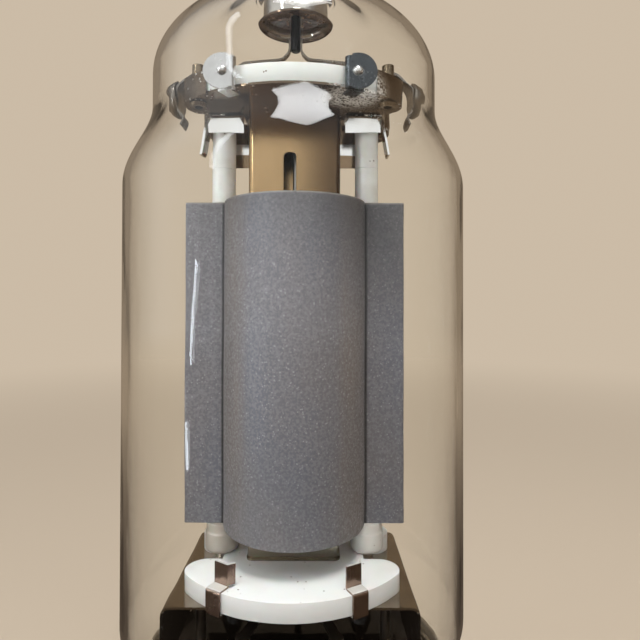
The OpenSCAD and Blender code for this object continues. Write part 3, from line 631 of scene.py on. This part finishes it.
def make_box_nickel():
    """Satin nickel with painted shade darkening it to its right, and greyed low down."""
    mat = metal("box_nickel", (0.52, 0.355, 0.19), (0.32, 0.215, 0.105), share=0.4, roughness=0.18,
                streak=0.0, dents=0.001)
    tree = mat.node_tree
    # Painted shade: the box darkens towards its right side.
    retone(mat, spread(tree, axis(tree, "X"), SHADE_RIGHT_FROM, SHADE_RIGHT_FULL, 0.0, 0.95), (0.115, 0.072, 0.04))
    retone(mat, spread(tree, axis(tree, "Z"), GREY_FULL, GREY_END, 0.85, 0.0), (0.24, 0.22, 0.18))
    return mat


wind("screen_winding", "screen_grid", Half_Width=7.0, Half_Depth=3.28, Post_Offset=6.4, Post_Radius=0.5,
     Left_Low=SHORT_POST_LOW, Right_Low=POST_LOW)
wind("control_winding", "control_grid", Half_Width=5.15, Half_Depth=2.11, Post_Offset=4.6, Post_Radius=0.45,
     Left_Low=POST_LOW, Right_Low=SHORT_POST_LOW)
dress(make_box_nickel(), "beam_box")
dress(metal("tungsten", (0.20, 0.19, 0.19), (0.10, 0.10, 0.11), share=0.6, roughness=0.45), "filament")
dress(metal("rod_steel", (0.58, 0.56, 0.53), (0.35, 0.31, 0.26), share=0.5, roughness=0.25, streak=0.15),
      "support_rod_left", "support_rod_right")
dress(metal("hook_nickel", (0.90, 0.87, 0.82), (0.62, 0.57, 0.50), share=0.4, roughness=0.30, streak=0.05),
      "filament_hanger", "filament_spring")


# Anode: one block of graphite with a bored middle and two drilled wings
# Machined dry and baked: matte grey with a fine sparkle, faint vertical tool marks, and
# slow tints of brown and blue.
BARREL_R = extent("anode")[1].y
ANODE_TOP = extent("anode")[1].z
FLANK_FROM = 7.0
FLANK_FULL = 9.8
FLANK_FADE = BARREL_R - 0.7
FLANK_END = BARREL_R + 0.1
CREASE_SHADE_FULL = 0.12
CREASE_SHADE_END = 0.42
EDGE_GLINT_FROM = ANODE_TOP - 0.45
EDGE_GLINT_FULL = ANODE_TOP - 0.1
TOP_SHADE_LOW = 112.0
TOP_SHADE_HIGH = 138.0
TOP_SHADE_SLANT = 0.6


def make_graphite():
    """Graphite: painted shade to the upper right and where the wings leave the barrel, and a painted
    highlight at its top edge.
    """
    mat, tree, shader, place = finish("graphite", Metallic=0.1)
    axes = node(tree, "SeparateXYZ", {"Vector": place}).outputs
    sideways = maths(tree, "ABSOLUTE", axes["X"])
    flank = maths(tree, "MULTIPLY", spread(tree, sideways, FLANK_FROM, FLANK_FULL),
                  spread(tree, sideways, FLANK_FADE, FLANK_END, 1.0, 0.0))
    slow = noise(tree, stretched(tree, place, 1.0, 1.0, 0.35), scale=0.09, detail=3.0)
    cloud = spread(tree, slow, 0.35, 0.68)
    tint = maths(tree, "ADD", maths(tree, "MULTIPLY", cloud, 0.5), maths(tree, "MULTIPLY", flank, 0.55))
    body = mixed(tree, tint, (0.140, 0.144, 0.176, 1), (0.180, 0.154, 0.146, 1))
    marks = noise(tree, stretched(tree, place, 3.0, 3.0, 0.06), scale=0.6, detail=3.0)
    marked = mixed(tree, spread(tree, marks, 0.3, 0.75, 0.0, 0.35), body, (0.128, 0.128, 0.142, 1))
    fine = noise(tree, place, scale=2.2, detail=1.0)
    mottled = mixed(tree, spread(tree, fine, 0.38, 0.66, 0.0, 0.42), marked, (0.262, 0.261, 0.274, 1))
    spark = spread(tree, cells(tree, place, scale=1.8), 0.20, 0.32, 1.0, 0.0)
    lit = maths(tree, "MULTIPLY", spark, spread(tree, noise(tree, place, scale=1.3, detail=2.0), 0.46, 0.58))
    sparkling = mixed(tree, maths(tree, "MULTIPLY", lit, 0.36), mottled, (0.52, 0.52, 0.53, 1))
    # Painted shade: darker towards the upper right, where the upper plate and saddle shade the anode.
    slanted = maths(tree, "ADD", axes["Z"], maths(tree, "MULTIPLY", axes["X"], TOP_SHADE_SLANT))
    top_shade = spread(tree, slanted, TOP_SHADE_LOW, TOP_SHADE_HIGH, 0.0, 0.6)
    top_shaded = mixed(tree, top_shade, sparkling, (0.060, 0.058, 0.060, 1))
    # Painted shade: a dark line along the crease where each wing leaves the barrel.
    from_crease = maths(tree, "ABSOLUTE", maths(tree, "SUBTRACT", sideways, BARREL_R))
    crease_shade = spread(tree, from_crease, CREASE_SHADE_FULL, CREASE_SHADE_END, 0.85, 0.0)
    crease_shaded = mixed(tree, crease_shade, top_shaded, (0.020, 0.019, 0.019, 1))
    # Painted highlight: a paler thin band along the anode's top edge.
    edge_glint = spread(tree, axes["Z"], EDGE_GLINT_FROM, EDGE_GLINT_FULL, 0.0, 0.6)
    tree.links.new(mixed(tree, edge_glint, crease_shaded, (0.34, 0.32, 0.30, 1)), shader.inputs["Base Color"])
    tree.links.new(spread(tree, fine, 0.3, 0.7, 0.62, 0.46), shader.inputs["Roughness"])
    grain = maths(tree, "ADD", fine, maths(tree, "MULTIPLY", marks, 0.4))
    bump(tree, shader, grain, strength=0.5, depth=0.05)
    return mat


rounded("anode", width=0.28, material=make_graphite())


# Cage top: sleeves, saddles, the upper shield and plate, clips, rivets and snubber springs
# Ceramic sleeves on the rods carry the folded saddles and the shield, which is turned up round
# the lobes of the plate. Springs riveted through the lobes press dished pads on the glass.
POWDER_PLACE = (10.3, -12.5, extent("upper_shield")[0].z)
POWDER_FULL = 3.0
POWDER_END = 7.5
RIVET_PLACE = (10.8, -18.33, 148.95)
RIVET_R = 0.95
RIVET_BLUR = 0.15
REAR_FROM = 1.0
REAR_FULL = 2.0
BAND_LOW = 141.6
BAND_HIGH = 144.1
BAND_BLUR = 0.2
FLAP_LEAN = -0.128


def distance_from(tree, place):
    """Distance from a place, in millimetres."""
    return node(tree, "VectorMath", {0: here(tree), 1: place}, operation="DISTANCE").outputs["Value"]


def make_mirror_shield():
    """Polished dark sheet with fine dust, and a smudge of powder below at its front right."""
    mat = metal("mirror_shield", (0.195, 0.145, 0.10), (0.11, 0.078, 0.05), share=0.6, roughness=0.07,
                streak=0.0, dust=1.0, dust_scale=1.1, dents=0.006)
    tree = mat.node_tree
    patchy = spread(tree, noise(tree, here(tree), scale=2.6, detail=6.0), 0.30, 0.56)
    near = spread(tree, distance_from(tree, POWDER_PLACE), POWDER_FULL, POWDER_END, 1.0, 0.0)
    retone(mat, maths(tree, "MULTIPLY", patchy, near), (0.88, 0.87, 0.85), metallic=0.1)
    return mat


def make_saddle_nickel():
    """Bright nickel, with a painted brown reflection on the flap behind, apart from a band.

    The flap behind is bowed, so its normal leans up a little and the band mirrors the room.
    """
    mat = metal("saddle_nickel", (0.97, 0.97, 0.96), (0.80, 0.76, 0.70), share=0.3, roughness=0.14,
                streak=0.0)
    tree = mat.node_tree
    behind = spread(tree, axis(tree, "Y"), REAR_FROM, REAR_FULL)
    height = axis(tree, "Z")
    band = maths(tree, "MULTIPLY", spread(tree, height, BAND_LOW, BAND_LOW + BAND_BLUR),
                 spread(tree, height, BAND_HIGH - BAND_BLUR, BAND_HIGH, 1.0, 0.0))
    # Painted reflection: the flap behind is coloured brown, except for the band that mirrors the room.
    retone(mat, maths(tree, "MULTIPLY", behind, maths(tree, "SUBTRACT", 1.0, band)), (0.26, 0.18, 0.11))
    lean = maths(tree, "MULTIPLY", maths(tree, "MULTIPLY", height, behind), FLAP_LEAN)
    bump(tree, tree.nodes["Principled BSDF"], lean, strength=1.0, depth=1.0)
    return mat


def make_blued_clip():
    """Blued strip, with a painted highlight on the head of the rivet through the front clip's tab."""
    mat = metal("blued_clip", (0.085, 0.094, 0.102), (0.05, 0.055, 0.062), share=0.6, roughness=0.22,
                dust=0.1)
    tree = mat.node_tree
    # Painted highlight: the rivet's head is coloured pale.
    rivet_glint = spread(tree, distance_from(tree, RIVET_PLACE), RIVET_R - RIVET_BLUR, RIVET_R, 1.0, 0.0)
    retone(mat, rivet_glint, (0.72, 0.72, 0.71))
    return mat


grey_alumina = ceramic("grey_alumina", (0.67, 0.69, 0.68), (0.58, 0.58, 0.55), share=0.5,
                       roughness=0.42, coat=0.1)
dress(ceramic("sleeve_alumina", (0.93, 0.95, 0.94), (0.52, 0.49, 0.44), share=0.5, roughness=0.30, coat=0.3),
      *[f"{length}_sleeve_{side}" for length in ("short", "long") for side in ("left", "right")])
dress(make_saddle_nickel(), "saddle_left", "saddle_right")
dress(make_mirror_shield(), "upper_shield")
rounded("upper_ceramic", width=0.25, material=grey_alumina)
dress(metal("clip_nickel", (0.66, 0.66, 0.66), (0.44, 0.43, 0.42), share=0.4, roughness=0.2, dust=0.3),
      "upper_clip_1", "upper_clip_3")
dress(make_blued_clip(), "upper_clip_2", "upper_clip_4")
dress(metal("rivet_brass", (0.26, 0.205, 0.14), (0.10, 0.075, 0.05), share=0.7, roughness=0.2),
      "upper_eyelets")
dress(metal("spring_nickel", (0.27, 0.25, 0.225), (0.11, 0.09, 0.075), share=0.7, roughness=0.18),
      "snubber_left", "snubber_right")
dress(metal("strap_ribbon", (0.22, 0.19, 0.155), (0.10, 0.08, 0.06), share=0.6, roughness=0.25, streak=0.15),
      "anode_strap")


# Bulb: one piece of blown glass, shouldered, drawn up into a short tube round the eyelet
# Clear glass with slow waves down its sides. It has the profile of the solid it stands for,
# but its crown is drawn up further round the tube.
FOOT_Z = extent("glass_envelope")[0].z
BODY_R = extent("glass_envelope")[1].x
TUBE_TOP = extent("glass_envelope")[1].z
WALL = 1.1
NECK_R = 26.4
NECK_TOP = 45.5
BODY_LOW = 56.0
BODY_TOP = 132.4
DOME_R = 26.6
DOME_LOW = 147.0
CROWN_LOW = 152.9
CROWN_H = 16.3
CROWN_END_R = 8.4
DRAWN_R = 16.0
DRAWN_UP = 4.2
TUBE_R = 7.5
FILLET_R = 1.2
RIM = 0.5
EYELET_R = 6.35
BULB_STEPS = 160
SHADOW_LIGHT = 0.9


def arc(centre, radius, start, end, steps):
    """Points of an arc between two turns in degrees."""
    turns = [radians(start + (end - start) * i / steps) for i in range(steps + 1)]
    return [(centre[0] + radius * cos(t), centre[1] + radius * sin(t)) for t in turns]


def s_bend(r0, z0, r1, z1, steps=28):
    """A shoulder that leaves one radius and meets the next without a kink."""
    shares = [i / steps for i in range(steps + 1)]
    return [(r0 + (r1 - r0) * (1 - cos(pi * s)) / 2, z0 + (z1 - z0) * s) for s in shares]


def crown(z, wide, high, end_r, steps=48):
    """A quarter oval that leaves its curve near the axis, where the glass is drawn up."""
    end = acos(end_r / wide)
    points = [(wide * cos(end * i / steps), z + high * sin(end * i / steps)) for i in range(steps + 1)]
    near = [max(0.0, (DRAWN_R - r) / (DRAWN_R - end_r)) for r, _ in points]
    return [(r, height + DRAWN_UP * t * t * (3 - 2 * t)) for (r, height), t in zip(points, near)]


def bulb_side(inset, end_r):
    """Half the bulb's outline, from its foot to where the crown ends."""
    body, dome, neck = BODY_R - inset, DOME_R - inset, NECK_R - inset
    return ([(neck, FOOT_Z)] + s_bend(neck, NECK_TOP, body, BODY_LOW)
            + s_bend(body, BODY_TOP, dome, DOME_LOW) + crown(CROWN_LOW, dome, CROWN_H - inset, end_r))


def revolve(name, profile, steps):
    """A closed profile of radii and heights in millimetres, turned round the Z axis."""
    turns = [2 * pi * k / steps for k in range(steps)]
    points = [(r * cos(t) * MM, r * sin(t) * MM, z * MM) for r, z in profile for t in turns]
    faces = []
    for i in range(len(profile)):
        low, high = i * steps, (i + 1) % len(profile) * steps
        faces += [(low + k, low + (k + 1) % steps, high + (k + 1) % steps, high + k) for k in range(steps)]
    mesh = bpy.data.meshes.new(name)
    mesh.from_pydata(points, [], faces)
    mesh.shade_smooth()
    made = bpy.data.objects.new(name, mesh)
    scene.collection.objects.link(made)
    return made


def glass(name, colour, waves, mirror):
    """Clear glass with waves of a depth in millimetres, which mirrors a share of what plain glass does."""
    mat, tree, shader, place = finish(name, Roughness=0.0, IOR=1.48, Transmission_Weight=1.0,
                                      Specular_Tint=(mirror, mirror, mirror, 1), Base_Color=(*colour, 1))
    slow = noise(tree, stretched(tree, place, 1.0, 1.0, 0.35), scale=0.09, detail=2.0)
    bump(tree, shader, slow, strength=1.0, depth=waves)
    clear = node(tree, "BsdfTransparent", {"Color": (*[SHADOW_LIGHT * c for c in colour], 1)})
    shadow = node(tree, "LightPath").outputs["Is Shadow Ray"]
    mix = shader_mix(tree, shadow, shader, clear)
    tree.links.new(mix.outputs[0], tree.nodes["Material Output"].inputs["Surface"])
    return mat


def make_bulb():
    outside = bulb_side(0, CROWN_END_R)
    inside = bulb_side(WALL, EYELET_R)
    tube = arc((TUBE_R + FILLET_R, TUBE_TOP - FILLET_R), FILLET_R, start=250, end=180, steps=6)
    rim = [(TUBE_R, TUBE_TOP - RIM), (TUBE_R - RIM, TUBE_TOP), (EYELET_R, TUBE_TOP)]
    bulb = revolve("bulb", outside + tube + rim + inside[::-1], BULB_STEPS)
    bulb.data.materials.append(glass("bulb_glass", (0.97, 0.965, 0.945), waves=0.10, mirror=0.2))
    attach(bulb, "root")
    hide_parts("glass_envelope")


make_bulb()


# Top: eyelet, bubbled bead, black lead rod and cap
# The eyelet is polished sealing alloy with a flared lip, filled with brown glass round the
# rod, whose skin is black glass. The cap is plated and soldered to the rod.
OXIDE_FROM = 166.8
OXIDE_FULL = 165.9


def make_sealing_alloy():
    """Polished alloy, brown with oxide at its foot."""
    mat, tree, shader, place = finish("sealing_alloy", Metallic=1.0)
    oxide = spread(tree, axis(tree, "Z"), OXIDE_FULL, OXIDE_FROM, 1.0, 0.0)
    colour = mixed(tree, oxide, (0.58, 0.55, 0.51, 1), (0.15, 0.105, 0.075, 1))
    made = use(tree, WORN_METAL, Vector=place, Colour=colour, Tarnish=(0.20, 0.15, 0.11, 1),
               Tarnish_Share=0.3, Roughness=0.1, Streak=0.03)
    tree.links.new(made["Colour"], shader.inputs["Base Color"])
    tree.links.new(made["Roughness"], shader.inputs["Roughness"])
    return mat


def make_bead_glass():
    """Brown glass with pale bubbles."""
    mat, tree, shader, place = finish("bead_glass", Roughness=0.08, Transmission_Weight=0.35, IOR=1.48,
                                      Coat_Weight=1.0)
    bubble = spread(tree, cells(tree, place, scale=1.1), 0.20, 0.30, 1.0, 0.0)
    colour = mixed(tree, bubble, (0.10, 0.045, 0.024, 1), (0.50, 0.34, 0.24, 1))
    tree.links.new(colour, shader.inputs["Base Color"])
    bump(tree, shader, bubble, strength=0.6, depth=0.15)
    return mat


def make_black_skin():
    """Black glass, uneven in tone and surface."""
    mat, tree, shader, place = finish("black_skin", Roughness=0.30, Specular_IOR_Level=0.2)
    shade = spread(tree, noise(tree, place, scale=1.2, detail=3.0), 0.3, 0.7)
    colour = mixed(tree, shade, (0.004, 0.004, 0.005, 1), (0.015, 0.014, 0.013, 1))
    tree.links.new(colour, shader.inputs["Base Color"])
    bump(tree, shader, noise(tree, place, scale=2.0, detail=3.0), strength=0.5, depth=0.1)
    return mat


dress(make_sealing_alloy(), "seal_eyelet")
dress(make_bead_glass(), "seal_bead")
dress(make_black_skin(), "anode_lead_rod")
dress(metal("cap_plate", (0.66, 0.64, 0.60), (0.40, 0.35, 0.28), share=0.5, roughness=0.22, streak=0.2),
      "top_cap")
